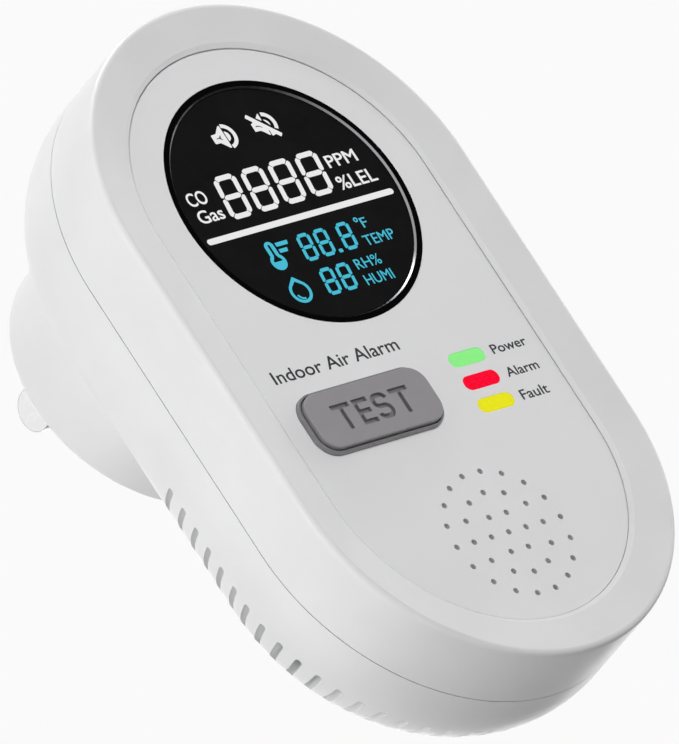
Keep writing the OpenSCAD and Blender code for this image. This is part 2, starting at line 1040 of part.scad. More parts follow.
// Ferrite core: a frame with a middle leg, which the coil is wound on
module transformer_core() {
    window_w = (core_w - 2 * core_leg - core_mid) / 2;
    color("dimgray")
        difference() {
            block(TRANSFORMER_PLACE, core_w, core_h, y_core, y_core + core_len);
            for (side = [-1, 1])
                block(TRANSFORMER_PLACE + [side * (core_mid + window_w) / 2, 0],
                    window_w, core_h + 2 * eps, y_core + core_leg, y_core + core_len - core_leg);
        }
}

// Wound and taped coil round the middle leg, with side cheeks down to its pinned foot
module transformer_coil() {
    gap = 0.1;
    coil_t = 2.4;
    coil_w = core_w - 2 * core_leg - 2 * gap;
    coil_h = core_h + 2 * gap + 2 * coil_t;
    y0 = y_core + core_leg + gap;
    y1 = y_core + core_len - core_leg - gap;
    cheek_z = (core_h + coil_t) / 2 + gap;
    foot_w = core_w + 1;
    foot_h = coil_h + 1.4;
    color("goldenrod")
        difference() {
            block(TRANSFORMER_PLACE, coil_w, coil_h, y0, y1);
            block(TRANSFORMER_PLACE, core_mid + 2 * gap, core_h + 2 * gap, y0 - eps, y1 + eps);
        }
    color([0.15, 0.15, 0.15]) {
        block(TRANSFORMER_PLACE, foot_w, foot_h, y_power_back, y_core - gap);
        for (side = [-1, 1])
            block(TRANSFORMER_PLACE + [0, side * cheek_z], coil_w, coil_t, y_power_back, y0 + slip);
    }
}

// Upright round capacitor with a groove round its sleeve and a sunk top
module can_capacitor(place, r, h) {
    groove_r = 0.35;
    groove_up = 1.6;
    top_rim = 0.8;
    top_sunk = 0.2;
    turned_at(place)
        translate([0, y_power_back])
            difference() {
                square([r, h]);
                translate([r, groove_up])
                    circle(groove_r);
                translate([0, h - top_sunk])
                    square([r - top_rim, top_sunk + eps]);
            }
}

module mains_capacitor() {
    color("midnightblue")
        can_capacitor([9.5, -6.5], r = 5, h = 12.5);
}

module output_capacitor() {
    color("midnightblue")
        can_capacitor([8.5, 4.6], r = 3.15, h = 8);
}

// A round wire standing on the back of the power board at [x, z], up to depth y1
module lead(place, y1) {
    lead_r = 0.35;
    rod(place, lead_r, y_power_back, y1);
}

// Round blue varistor standing on its two leads
module varistor() {
    place = [-8, -12];
    disc_r = 3.6;
    disc_t = 3;
    lead_x = 2;
    y_mid = y_power_back + 5;
    color("royalblue")
        translate([place[0], y_mid, place[1] - disc_t / 2])
            cylinder(h = disc_t, r = disc_r);
    color("silver")
        for (side = [-1, 1])
            lead(place + [side * lead_x, 0], y_mid);
}

// Round fuse lying above the board between its two bent leads
module fuse() {
    place = [0, 14.5];
    body_len = 9;
    fuse_r = 1.8;
    wire_len = 1.2;
    wire_r = 0.35;
    lead_x = body_len / 2 + 0.85;
    y_mid = y_power_back + fuse_r + 0.3;
    color("khaki")
        translate([place[0] - body_len / 2, y_mid, place[1]])
            rotate([0, 90, 0])
                cylinder(h = body_len, r = fuse_r);
    color("silver")
        for (side = [-1, 1]) {
            translate([place[0] + side * (body_len + wire_len) / 2 - wire_len / 2, y_mid, place[1]])
                rotate([0, 90, 0])
                    cylinder(h = wire_len, r = wire_r);
            lead(place + [side * lead_x, 0], y_mid + wire_r);
        }
}

// Flat chip with two legs on each side
module rectifier() {
    place = [4, -15.5];
    body = [5, 4, 1.8];
    leg = [1, 0.7, 0.5];
    leg_z = 1.2;
    color([0.12, 0.12, 0.13])
        block(place, body[0], body[1], y_power_back, y_power_back + body[2]);
    color("silver")
        for (side = [-1, 1], end = [-1, 1])
            block(place + [side * (body[0] + leg[0]) / 2, end * leg_z], leg[0], leg[1],
                y_power_back, y_power_back + leg[2]);
}

// ---------- plug ----------

// Insulating block inside the housing that holds the two blades
module blade_carrier() {
    carrier_w = 30;
    carrier_h = 10;
    carrier_corner = 1.5;
    head_pocket = blade_head_t + slip;
    color("saddlebrown")
        difference() {
            slab(y_carrier_in, y_carrier)
                translate([0, blade_z])
                    round_rect2d(carrier_w, carrier_h, carrier_corner);
            for (side = [-1, 1])
                blade_slot([side * blade_spacing / 2, blade_z], head_pocket);
            for (p = CARRIER_POSTS) {
                rod(p, carrier_post_r + slip, y_carrier_post, y_carrier + eps);
                rod(p, BOARD_SCREW[0] + shank_room, y_carrier_in - eps, y_carrier);
            }
        }
}

// Slot for one blade, with the wider pocket for its head
module blade_slot(place, head_pocket) {
    slot_w = blade_t + 2 * slip;
    block(place, slot_w, blade_w + 2 * slip, y_carrier_in - eps, y_carrier + eps);
    block(place, slot_w, blade_head_w + 2 * slip, y_carrier_in - eps, y_carrier_in + head_pocket);
}

module carrier_screws() {
    color("silver")
        for (p = CARRIER_POSTS)
            screw(p, BOARD_SCREW, y_carrier_in, y_carrier_screw_end);
}

// Flat blade with a round tip, a wide head in the carrier and a solder tab; side is -1 or 1
module blade(side) {
    x0 = side * blade_spacing / 2 - blade_t / 2;
    y_head = y_carrier_in + blade_head_t;
    y_tab = -10.8;
    tab_w = 3;
    translate([x0, 0, blade_z])
        rotate([0, 90, 0])
            linear_extrude(blade_t) {
                translate([-blade_w / 2, y_head - slip])
                    square([blade_w, blade_reach - blade_w / 2 - y_head + slip]);
                translate([0, blade_reach - blade_w / 2])
                    circle(blade_w / 2);
                translate([-blade_head_w / 2, y_carrier_in])
                    square([blade_head_w, blade_head_t]);
                translate([-tab_w / 2, y_tab])
                    square([tab_w, y_carrier_in - y_tab + slip]);
            }
}

module left_blade() {
    color("silver")
        blade(-1);
}

module right_blade() {
    color("silver")
        blade(1);
}

// Insulated wire from a blade's tab, round one bend and down to the power board
module mains_wire(side) {
    wire_r = 0.8;
    bend_r = 3;
    y_run = -9.6;
    x_tab = blade_spacing / 2 + blade_t / 2;
    x_down = 16;
    mirror([side < 0 ? 1 : 0, 0, 0])
        translate([0, 0, blade_z]) {
            translate([x_tab, y_run, 0])
                rotate([0, 90, 0])
                    cylinder(h = x_down - bend_r - x_tab, r = wire_r);
            translate([x_down - bend_r, y_run - bend_r, 0])
                rotate_extrude(angle = 90)
                    translate([bend_r, 0])
                        circle(wire_r);
            rod([x_down, 0], wire_r, y_power_back, y_run - bend_r);
        }
}

module live_wire() {
    color("black")
        mains_wire(1);
}

module neutral_wire() {
    color("white")
        mains_wire(-1);
}

front_shell();
face_panel();
rear_shell();
plug_housing();
case_screws();
display_bezel();
display_lens();
display_module();
display_pins();
button_surround();
test_button();
switch_body();
switch_plunger();
power_light_pipe();
alarm_light_pipe();
fault_light_pipe();
power_led();
alarm_led();
fault_led();
sound_mesh();
sounder_gasket();
sounder();
main_board();
board_screws();
board_chips();
microcontroller();
gas_sensor_base();
gas_sensor_can();
co_sensor();
humidity_sensor();
header_pins();
header_socket();
power_board();
power_board_screws();
transformer_core();
transformer_coil();
mains_capacitor();
output_capacitor();
varistor();
fuse();
rectifier();
blade_carrier();
carrier_screws();
left_blade();
right_blade();
live_wire();
neutral_wire();
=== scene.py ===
"""Looks of a plug-in carbon monoxide alarm, built round its CAD frame. Places are in millimetres."""
import json
import math

import bmesh
import bpy
from mathutils import Matrix, Vector


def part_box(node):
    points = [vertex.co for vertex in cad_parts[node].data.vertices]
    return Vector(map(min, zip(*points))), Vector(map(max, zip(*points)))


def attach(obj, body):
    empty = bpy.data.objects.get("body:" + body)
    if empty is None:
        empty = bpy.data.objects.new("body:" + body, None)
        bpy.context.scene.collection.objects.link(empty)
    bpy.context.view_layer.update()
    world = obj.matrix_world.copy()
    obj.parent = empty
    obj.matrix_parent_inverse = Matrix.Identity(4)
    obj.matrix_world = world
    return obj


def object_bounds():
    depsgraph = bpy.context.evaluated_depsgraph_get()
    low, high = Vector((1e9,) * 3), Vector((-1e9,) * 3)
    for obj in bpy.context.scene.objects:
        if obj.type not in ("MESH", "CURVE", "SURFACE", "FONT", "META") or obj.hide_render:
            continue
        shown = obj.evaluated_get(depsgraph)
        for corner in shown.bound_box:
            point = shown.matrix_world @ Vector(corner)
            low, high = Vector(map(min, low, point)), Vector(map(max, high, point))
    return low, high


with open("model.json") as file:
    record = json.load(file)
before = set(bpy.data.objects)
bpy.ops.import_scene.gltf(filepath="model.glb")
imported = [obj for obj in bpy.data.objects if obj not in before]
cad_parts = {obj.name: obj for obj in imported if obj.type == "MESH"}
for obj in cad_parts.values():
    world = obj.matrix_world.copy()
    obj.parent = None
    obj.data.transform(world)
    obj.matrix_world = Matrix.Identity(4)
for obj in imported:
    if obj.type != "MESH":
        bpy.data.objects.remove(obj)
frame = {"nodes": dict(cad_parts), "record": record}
CAD_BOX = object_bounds()
MM = 0.001


def box_of(node):
    """Lowest corner and middle of a CAD node's box, in millimetres."""
    low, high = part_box(node)
    return low / MM, (low + high) / 2 / MM


# ---------- places taken from the frame ----------

LENS_LOW, LENS_MID = box_of("display_lens")
PANEL_LOW, _ = box_of("face_panel")
BUTTON_LOW, _ = box_of("test_button")
LENS_FACE = LENS_LOW.y
PANEL_FACE = PANEL_LOW.y

# Thickness of the lit symbols on the lens, and of the print on the panel
SYMBOL_T = 0.04
PRINT_T = 0.02

# ---------- camera ----------

VIEW_AZIMUTH = -45.0696
VIEW_ELEVATION = -17.6006
VIEW_ROLL = -33.0505
VIEW_TARGET = Vector((-10.65, -43.1, -26.78))
VIEW_DISTANCE = 3550.4
LENS_LENGTH = 1250
SENSOR = 36


def view_axes():
    """Right, up and back directions of the camera."""
    azimuth = math.radians(VIEW_AZIMUTH)
    elevation = math.radians(VIEW_ELEVATION)
    roll = math.radians(VIEW_ROLL)
    back = Vector((
        math.sin(azimuth) * math.cos(elevation),
        -math.cos(azimuth) * math.cos(elevation),
        math.sin(elevation),
    ))
    level = Vector((math.cos(azimuth), math.sin(azimuth), 0))
    right = level * math.cos(roll) + back.cross(level) * math.sin(roll)
    return right, back.cross(right), back


def make_camera():
    right, up, back = view_axes()
    data = bpy.data.cameras.new("camera")
    data.lens = LENS_LENGTH
    data.sensor_width = SENSOR
    data.clip_start = 0.1
    data.clip_end = 30
    camera = bpy.data.objects.new("camera", data)
    turn = Matrix((right, up, back)).transposed().to_4x4()
    camera.matrix_world = Matrix.Translation((VIEW_TARGET + back * VIEW_DISTANCE) * MM) @ turn
    bpy.context.scene.collection.objects.link(camera)
    bpy.context.scene.camera = camera


# ---------- node helpers ----------

# Part of a noise's range over which a blend runs
BLEND_START = 0.3
BLEND_END = 0.7
# Spacing of the wave texture's bands at a scale of 1
WAVE_LENGTH = 0.314


class Nodes:
    """Short names for building one material's node tree."""

    def __init__(self, name):
        self.material = bpy.data.materials.new(name)
        self.material.use_nodes = True
        self.tree = self.material.node_tree
        self.shader = self.tree.nodes["Principled BSDF"]
        self.output = self.tree.nodes["Material Output"]
        self.place = self.add("ShaderNodeTexCoord").outputs["Object"]

    def add(self, kind, **settings):
        node = self.tree.nodes.new(kind)
        for key, value in settings.items():
            setattr(node, key, value)
        return node

    def link(self, start, end):
        self.tree.links.new(start, end)

    def set(self, **values):
        """Sets plain values on the shader's own sockets; an underscore stands for a space."""
        for key, value in values.items():
            self.shader.inputs[key.replace("_", " ")].default_value = value

    def noise(self, size_mm, detail=3, stretch=(1, 1, 1)):
        """Noise whose features are about size_mm across, stretched along the axes."""
        mapping = self.add("ShaderNodeMapping")
        mapping.inputs["Scale"].default_value = [1 / s for s in stretch]
        self.link(self.place, mapping.inputs["Vector"])
        noise = self.add("ShaderNodeTexNoise")
        noise.inputs["Scale"].default_value = 1 / (size_mm * MM)
        noise.inputs["Detail"].default_value = detail
        self.link(mapping.outputs["Vector"], noise.inputs["Vector"])
        return noise.outputs["Fac"]

    def waves(self, direction, spacing_mm, distortion):
        """Parallel bands spacing_mm apart along one axis."""
        wave = self.add("ShaderNodeTexWave", bands_direction=direction)
        wave.inputs["Scale"].default_value = WAVE_LENGTH / (spacing_mm * MM)
        wave.inputs["Distortion"].default_value = distortion
        self.link(self.place, wave.inputs["Vector"])
        return wave.outputs["Fac"]

    def cells(self, size_mm):
        """Distance to the middle of the nearest of many small cells."""
        cells = self.add("ShaderNodeTexVoronoi")
        cells.inputs["Scale"].default_value = 1 / (size_mm * MM)
        self.link(self.place, cells.inputs["Vector"])
        return cells.outputs["Distance"]

    def along(self, vector, axis):
        """One of the three components of a vector."""
        split = self.add("ShaderNodeSeparateXYZ")
        self.link(vector, split.inputs["Vector"])
        return split.outputs[axis]

    def normal(self):
        return self.add("ShaderNodeNewGeometry").outputs["Normal"]

    def spread(self, value, start, end, low=0, high=1):
        """Maps start to end onto low to high, and holds the ends."""
        span = self.add("ShaderNodeMapRange")
        span.inputs["From Min"].default_value = start
        span.inputs["From Max"].default_value = end
        span.inputs["To Min"].default_value = low
        span.inputs["To Max"].default_value = high
        self.link(value, span.inputs["Value"])
        return span.outputs["Result"]

    def compute(self, operation, first, second=None):
        """A math node on one socket and, after it, a socket or a plain number."""
        node = self.add("ShaderNodeMath", operation=operation)
        self.link(first, node.inputs[0])
        if isinstance(second, bpy.types.NodeSocket):
            self.link(second, node.inputs[1])
        elif second is not None:
            node.inputs[1].default_value = second
        return node.outputs["Value"]

    def blend_colour(self, factor, first, second, target="Base Color"):
        """Runs from the first colour to the second over the middle of the factor."""
        ramp = self.add("ShaderNodeValToRGB")
        ramp.color_ramp.elements[0].position = BLEND_START
        ramp.color_ramp.elements[1].position = BLEND_END
        ramp.color_ramp.elements[0].color = (*first, 1)
        ramp.color_ramp.elements[1].color = (*second, 1)
        self.link(factor, ramp.inputs["Fac"])
        self.link(ramp.outputs["Color"], self.shader.inputs[target])

    def blend_value(self, factor, low, high, target="Roughness"):
        """Runs from low to high over the middle of the factor."""
        self.link(self.spread(factor, BLEND_START, BLEND_END, low, high), self.shader.inputs[target])

    def bumps(self, *layers):
        """Adds bump layers, each a height, a strength and a depth in millimetres."""
        before = None
        for height, strength, depth_mm in layers:
            bump = self.add("ShaderNodeBump")
            bump.inputs["Strength"].default_value = strength
            bump.inputs["Distance"].default_value = depth_mm * MM
            self.link(height, bump.inputs["Height"])
            if before is not None:
                self.link(before, bump.inputs["Normal"])
            before = bump.outputs["Normal"]
        self.link(before, self.shader.inputs["Normal"])


def shade(colour, factor):
    return tuple(min(1, c * factor) for c in colour)


# ---------- materials ----------

def moulded_look(n, colour, rough, grain_mm, depth_mm, spread, cloud_mm=14):
    """Fine spark-eroded grain, faint flow clouding and uneven gloss."""
    cloud = n.noise(cloud_mm, 4)
    grain = n.noise(grain_mm, 2)
    n.blend_colour(cloud, shade(colour, 1 - spread), shade(colour, 1 + spread))
    n.blend_value(n.noise(5, 5), rough - 0.04, rough + 0.05)
    n.bumps((grain, 0.5, depth_mm), (n.noise(2.5, 3), 0.08, 0.03))
    n.set(IOR=1.5, Specular_IOR_Level=0.35)


def moulded(name, colour, rough, grain_mm=0.12, depth_mm=0.012, spread=0.03):
    """Satin moulded plastic."""
    n = Nodes(name)
    moulded_look(n, colour, rough, grain_mm, depth_mm, spread)
    return n.material


def plastic_with_painted_slot_glow(name, colour, rough, glow):
    """White plastic with painted light: a faint glow, as emission, in narrow slots and seams, so they
    are not black.
    """
    n = Nodes(name)
    moulded_look(n, colour, rough, 0.12, 0.012, 0.03)
    shelter = n.add("ShaderNodeAmbientOcclusion", samples=6, only_local=True)
    shelter.inputs["Distance"].default_value = 3 * MM
    # Painted light: emission that grows where the surface is sheltered, standing in for light reaching
    # slots and seams.
    painted_slot_glow = n.spread(shelter.outputs["AO"], 0.6, 0.25, 0, glow)
    n.link(painted_slot_glow, n.shader.inputs["Emission Strength"])
    n.set(Emission_Color=(*colour, 1))
    return n.material


def glossy(name, colour, rough, level):
    """Polished plastic with the faint waviness and fine dust of a moulded window."""
    n = Nodes(name)
    n.blend_colour(n.noise(9, 3), shade(colour, 0.85), shade(colour, 1.15))
    n.blend_value(n.noise(1.6, 6), rough, rough + 0.06)
    n.bumps((n.noise(6, 2), 0.05, 0.02))
    n.set(IOR=1.49, Specular_IOR_Level=level)
    return n.material


def chamfered_ring(name):
    """Gloss black ring whose inner chamfer is bright-cut, so its metal shows."""
    n = Nodes(name)
    chamfer = n.spread(n.along(n.normal(), "Y"), -0.9, -0.8)
    n.link(chamfer, n.shader.inputs["Metallic"])
    ramp = n.add("ShaderNodeValToRGB")
    ramp.color_ramp.elements[0].color = (0.002, 0.002, 0.002, 1)
    ramp.color_ramp.elements[1].color = (0.36, 0.36, 0.37, 1)
    n.link(chamfer, ramp.inputs["Fac"])
    n.link(ramp.outputs["Color"], n.shader.inputs["Base Color"])
    n.blend_value(n.noise(0.6, 5), 0.16, 0.26)
    n.bumps((n.noise(0.3, 4, (1, 4, 1)), 0.1, 0.01))
    n.set(IOR=1.45, Specular_IOR_Level=0.06)
    return n.material


# Depths below the button's face over which painted shade darkens the floor of its engraved letters
SHADE_DEPTHS = (0.35, 0.55)


def engraved_with_painted_shade(name, colour, ink):
    """Moulded plastic whose engraved letters have painted shade on their floors, darker with depth."""
    n = Nodes(name)
    moulded_look(n, colour, 0.5, 0.14, 0.012, 0.03, 6)
    start, end = ((BUTTON_LOW.y + depth) * MM for depth in SHADE_DEPTHS)
    depth = n.spread(n.along(n.place, "Y"), start, end)
    front = n.compute("LESS_THAN", n.along(n.normal(), "Y"), -0.5)
    mix = n.add("ShaderNodeMix", data_type="RGBA")
    n.link(n.compute("MULTIPLY", depth, front), mix.inputs["Factor"])
    n.link(n.shader.inputs["Base Color"].links[0].from_socket, mix.inputs["A"])
    # The ink factor sets how dark the painted shade on the letter floors gets.
    mix.inputs["B"].default_value = (*shade(colour, ink), 1)
    n.link(mix.outputs["Result"], n.shader.inputs["Base Color"])
    return n.material


def light_window(name, colour, glow):
    """Milky light guide: diffuses its own light, a little uneven across it."""
    n = Nodes(name)
    haze = n.noise(0.9, 4)
    n.blend_colour(haze, shade(colour, 0.98), shade(colour, 1.02))
    n.blend_value(haze, glow * 0.98, glow * 1.02, "Emission Strength")
    n.blend_value(n.noise(0.5, 3), 0.22, 0.32)
    n.bumps((n.noise(0.25, 2), 0.1, 0.006))
    n.set(Emission_Color=(*colour, 1), IOR=1.49, Specular_IOR_Level=0.12)
    return n.material


def lit_symbol(name, colour, glow):
    """Lit display segment: an even glow with the fine cell grain of the diffuser behind it."""
    n = Nodes(name)
    cells = n.noise(0.18, 2)
    n.blend_colour(cells, shade(colour, 0.1), shade(colour, 0.14))
    n.blend_value(cells, glow * 0.95, glow * 1.05, "Emission Strength")
    n.blend_value(n.noise(0.6, 3), 0.45, 0.55)
    n.set(Emission_Color=(*colour, 1), Specular_IOR_Level=0.1)
    return n.material


def metal(name, colour, rough, stretch=(1, 1, 1), scratch_mm=0.25):
    """Plated metal with fine drawn scratches along one axis and slightly uneven plating."""
    n = Nodes(name)
    lines = n.noise(scratch_mm, 5, stretch)
    n.blend_colour(n.noise(4, 4), shade(colour, 0.92), shade(colour, 1.04))
    n.blend_value(lines, rough, rough + 0.14)
    n.bumps((lines, 0.18, 0.012))
    n.set(Metallic=1.0, IOR=2.5)
    return n.material


def stamped(name, flat, sheared_edge_and_shade):
    """Plated blade: bright flat faces with fine drawn scratches, and near-black edges that are partly
    dull sheared metal and partly painted shade.
    """
    n = Nodes(name)
    rounded = n.add("ShaderNodeBevel", samples=6)
    rounded.inputs["Radius"].default_value = 0.3 * MM
    side = n.compute("ABSOLUTE", n.along(rounded.outputs["Normal"], "X"))
    # Edges are painted near black: partly dull sheared metal, partly painted shade.
    n.blend_colour(n.compute("POWER", side, 4), sheared_edge_and_shade, flat)
    lines = n.noise(0.2, 5, (1, 9, 1))
    n.blend_value(lines, 0.22, 0.28)
    n.bumps((lines, 0.03, 0.008))
    n.set(Metallic=1.0, IOR=2.5)
    return n.material


def woven_with_painted_glow(name, colour, glow):
    """Fine woven screen: crossed threads with dark gaps, and a faint painted glow, as emission, that
    stands in for light inside the shell.
    """
    n = Nodes(name)
    threads = n.compute("MAXIMUM", n.waves("Y", 0.4, 0.2), n.waves("Z", 0.4, 0.2))
    n.blend_colour(threads, shade(colour, 0.7), colour)
    n.blend_value(n.noise(1.2, 3), 0.6, 0.75)
    n.bumps((threads, 0.5, 0.05))
    n.set(Specular_IOR_Level=0.25, Emission_Color=(*colour, 1), Emission_Strength=glow)
    return n.material


def board(name):
    """Green solder mask: raised copper tracks run under it, and glass weave shows faintly."""
    n = Nodes(name)
    tracks = n.add("ShaderNodeTexBrick")
    tracks.inputs["Scale"].default_value = 1 / (6 * MM)
    tracks.inputs["Mortar Size"].default_value = 0.05
    tracks.inputs["Color1"].default_value = (0.012, 0.13, 0.05, 1)
    tracks.inputs["Color2"].default_value = (0.016, 0.16, 0.06, 1)
    tracks.inputs["Mortar"].default_value = (0.03, 0.24, 0.1, 1)
    turn = n.add("ShaderNodeMapping")
    turn.inputs["Rotation"].default_value = (math.pi / 2, 0, 0)
    n.link(n.place, turn.inputs["Vector"])
    n.link(turn.outputs["Vector"], tracks.inputs["Vector"])
    n.link(tracks.outputs["Color"], n.shader.inputs["Base Color"])
    n.blend_value(n.noise(0.5, 3), 0.28, 0.4)
    n.bumps((tracks.outputs["Fac"], 0.4, 0.03), (n.noise(0.4, 2), 0.12, 0.02))
    n.set(IOR=1.52)
    return n.material


def speckled(name, colour, fleck, rough, size_mm=0.35):
    """Filled resin or sintered powder: dark and light flecks in a dull body."""
    n = Nodes(name)
    cells = n.cells(size_mm)
    n.blend_colour(cells, fleck, colour)
    n.blend_value(n.noise(1.2, 4), rough - 0.05, rough + 0.08)
    n.bumps((cells, 0.3, 0.02))
    return n.material


def foam(name):
    """Closed-cell foam: open burst cells on a dark skin."""
    n = Nodes(name)
    cells = n.cells(0.5)
    n.blend_colour(cells, (0.02, 0.02, 0.02), (0.06, 0.06, 0.062))
    n.blend_value(n.noise(0.8, 3), 0.82, 0.95)
    n.bumps((cells, 0.8, 0.15))
    return n.material


def banded(name, colour, band, rough, band_mm):
    """Wound tape or a printed sleeve: edges of the layers show as fine bands along the depth."""
    n = Nodes(name)
    bands = n.waves("Y", band_mm, 0.6)
    n.blend_colour(bands, band, colour)
    n.blend_value(n.noise(0.8, 4), rough, rough + 0.12)
    n.bumps((bands, 0.2, 0.04), (n.noise(0.3, 3), 0.15, 0.02))
    return n.material


def printed(name, colour):
    """Screen-printed ink: slightly broken edge density and a dull face."""
    n = Nodes(name)
    ink = n.noise(0.15, 3)
    n.blend_colour(ink, shade(colour, 0.8), shade(colour, 1.2))
    n.blend_value(n.noise(0.6, 3), 0.5, 0.62)
    n.bumps((ink, 0.2, 0.005))
    return n.material


SHELL_WHITE = (0.80, 0.80, 0.805)
PANEL_GREY = (0.845, 0.845, 0.855)
BUTTON_GREY = (0.318, 0.306, 0.318)

# What builds the material of each slot in the record
SLOT_MATERIALS = {
    # The shell's last number is the strength of the painted glow in its slots and seams.
    "shell_white": lambda s: plastic_with_painted_slot_glow(s, SHELL_WHITE, 0.42, 0.115),
    "panel_grey": lambda s: moulded(s, PANEL_GREY, 0.5, 0.16, 0.014, 0.015),
    "bezel_black": chamfered_ring,
    "lens_smoke": lambda s: glossy(s, (0.0085, 0.0085, 0.0088), 0.2, 0.12),
    # The button's last number darkens the floors of its letters as painted shade.
    "button_grey": lambda s: engraved_with_painted_shade(s, BUTTON_GREY, 0.72),
    "light_green": lambda s: light_window(s, (0.20, 0.66, 0.185), 0.55),
    "light_red": lambda s: light_window(s, (0.66, 0.0, 0.02), 0.7),
    "light_yellow": lambda s: light_window(s, (0.645, 0.61, 0.009), 0.5),
    "dark_plastic": lambda s: moulded(s, (0.022, 0.022, 0.024), 0.45),
    "white_plastic": lambda s: moulded(s, (0.78, 0.77, 0.73), 0.4),
    "foam": foam,
    "board_green": board,
    "phenolic": lambda s: speckled(s, (0.17, 0.075, 0.03), (0.1, 0.04, 0.018), 0.5),
    "steel": lambda s: metal(s, (0.6, 0.6, 0.61), 0.28, (6, 1, 1)),
    "contact_gold": lambda s: metal(s, (0.83, 0.6, 0.24), 0.2, (1, 6, 1)),
    "ferrite": lambda s: speckled(s, (0.055, 0.055, 0.06), (0.03, 0.03, 0.032), 0.6, 0.2),
    "tape_yellow": lambda s: banded(s, (0.78, 0.54, 0.05), (0.6, 0.38, 0.03), 0.35, 0.9),
    "sleeve_blue": lambda s: banded(s, (0.018, 0.045, 0.19), (0.012, 0.03, 0.14), 0.25, 2.2),
    "fuse_tan": lambda s: speckled(s, (0.6, 0.5, 0.28), (0.5, 0.4, 0.2), 0.55, 0.25),
    # The blade's second colour is its edge: dull sheared metal darkened further with painted shade.
    "blade_metal": lambda s: stamped(s, (0.67, 0.67, 0.675), (0.05, 0.05, 0.052)),
    "wire_black": lambda s: moulded(s, (0.02, 0.02, 0.02), 0.5, 0.08),
    "wire_white": lambda s: moulded(s, (0.78, 0.78, 0.77), 0.5, 0.08),
}


def dress_nodes():
    """Gives every CAD node the procedural material of its slot."""
    made = {slot: build(slot) for slot, build in SLOT_MATERIALS.items()}
    for part in frame["record"]["subparts"]:
        mesh = frame["nodes"][part["node"]].data
        mesh.materials.clear()
        mesh.materials.append(made[part["material_slot"]])


# ---------- flat shapes on the display and the panel ----------

def arc(centre, radius, start, end, steps=16):
    """Points of an arc, with angles in degrees from +X towards +Z."""
    span = end - start
    angles = [math.radians(start + span * i / steps) for i in range(steps + 1)]
    return [(centre[0] + radius * math.cos(a), centre[1] + radius * math.sin(a)) for a in angles]


def ring_strip(centre, radius, width, start, end, steps=16):
    """One closed outline of an arc-shaped stroke."""
    outer = arc(centre, radius + width / 2, start, end, steps)
    inner = arc(centre, radius - width / 2, start, end, steps)
    return outer + inner[::-1]


def bar(start, end, width):
    """A straight stroke between two points, with round ends."""
    way = math.degrees(math.atan2(end[1] - start[1], end[0] - start[0]))
    return arc(end, width / 2, way - 90, way + 90, 8) + arc(start, width / 2, way + 90, way + 270, 8)


def inset(loop, gap):
    """Moves every edge of a convex outline inwards by gap."""
    middle = sum((Vector(p) for p in loop), Vector((0, 0))) / len(loop)
    lines = []
    for start, end in zip(loop, loop[1:] + loop[:1]):
        way = (Vector(end) - Vector(start)).normalized()
        normal = Vector((-way.y, way.x))
        if normal.dot(middle - Vector(start)) < 0:
            normal = -normal
        lines.append((normal, normal.dot(Vector(start)) + gap))
    moved = []
    for (n1, d1), (n2, d2) in zip(lines[-1:] + lines[:-1], lines):
        det = n1.x * n2.y - n1.y * n2.x
        moved.append(((d1 * n2.y - d2 * n1.y) / det, (n1.x * d2 - n2.x * d1) / det))
    return moved


def digit(x, z, width, height, stroke, slant, gap):
    """The seven bars of a figure eight, leaning to the right by slant at the top."""
    cut = stroke * 0.95
    fill = stroke * 0.2
    joint = stroke + fill / 2
    half = height / 2
    side = [(cut / 2, height - cut / 2), (0, height - cut), (0, half + stroke * 0.22),
            (stroke / 2, half), (stroke, half + stroke / 2), (stroke, height - stroke - fill),
            (joint, height - joint)]
    top = [(cut / 2, height - cut / 2), (joint, height - joint), (stroke + fill, height - stroke),
           (width - stroke - fill, height - stroke), (width - joint, height - joint),
           (width - cut / 2, height - cut / 2), (width - cut, height), (cut, height)]
    upper = [side, top, [(width - px, pz) for px, pz in side]]
    lower = [[(px, height - pz) for px, pz in loop] for loop in upper]
    middle = [(stroke / 2, half), (stroke, half + stroke / 2), (width - stroke, half + stroke / 2),
              (width - stroke / 2, half), (width - stroke, half - stroke / 2),
              (stroke, half - stroke / 2)]
    bars = [soft_outline(inset(loop, gap), stroke * 0.3) for loop in [*upper, *lower, middle]]
    return [[(x + px + slant * pz / height, z + pz) for px, pz in loop] for loop in bars]


def digits(places, z, width, height, stroke, slant, gap):
    """A row of figure eights whose lower left corners stand at places."""
    bars = [digit(x, z, width, height, stroke, slant, gap) for x in places]
    return [[bar] for row in bars for bar in row]


def soft_outline(loop, radius, steps=5):
    """Rounds every corner of an outline."""
    made = []
    count = len(loop)
    for i, point in enumerate(loop):
        here = Vector(point)
        to_last = Vector(loop[i - 1]) - here
        to_next = Vector(loop[(i + 1) % count]) - here
        reach = min(radius, to_last.length / 2.2, to_next.length / 2.2)
        start = here + to_last.normalized() * reach
        end = here + to_next.normalized() * reach
        for k in range(steps + 1):
            t = k / steps
            made.append(tuple(start * (1 - t) ** 2 + here * 2 * t * (1 - t) + end * t ** 2))
    return made


def finished(work, name):
    """Turns a working mesh into a stored one."""
    mesh = bpy.data.meshes.new(name)
    work.to_mesh(mesh)
    work.free()
    return mesh


def raise_faces(work, thickness):
    """Gives flat faces a thickness towards the back."""
    raised = bmesh.ops.extrude_face_region(work, geom=work.faces[:])
    for item in raised["geom"]:
        if isinstance(item, bmesh.types.BMVert):
            item.co.y += thickness * MM
    bmesh.ops.recalc_face_normals(work, faces=work.faces)


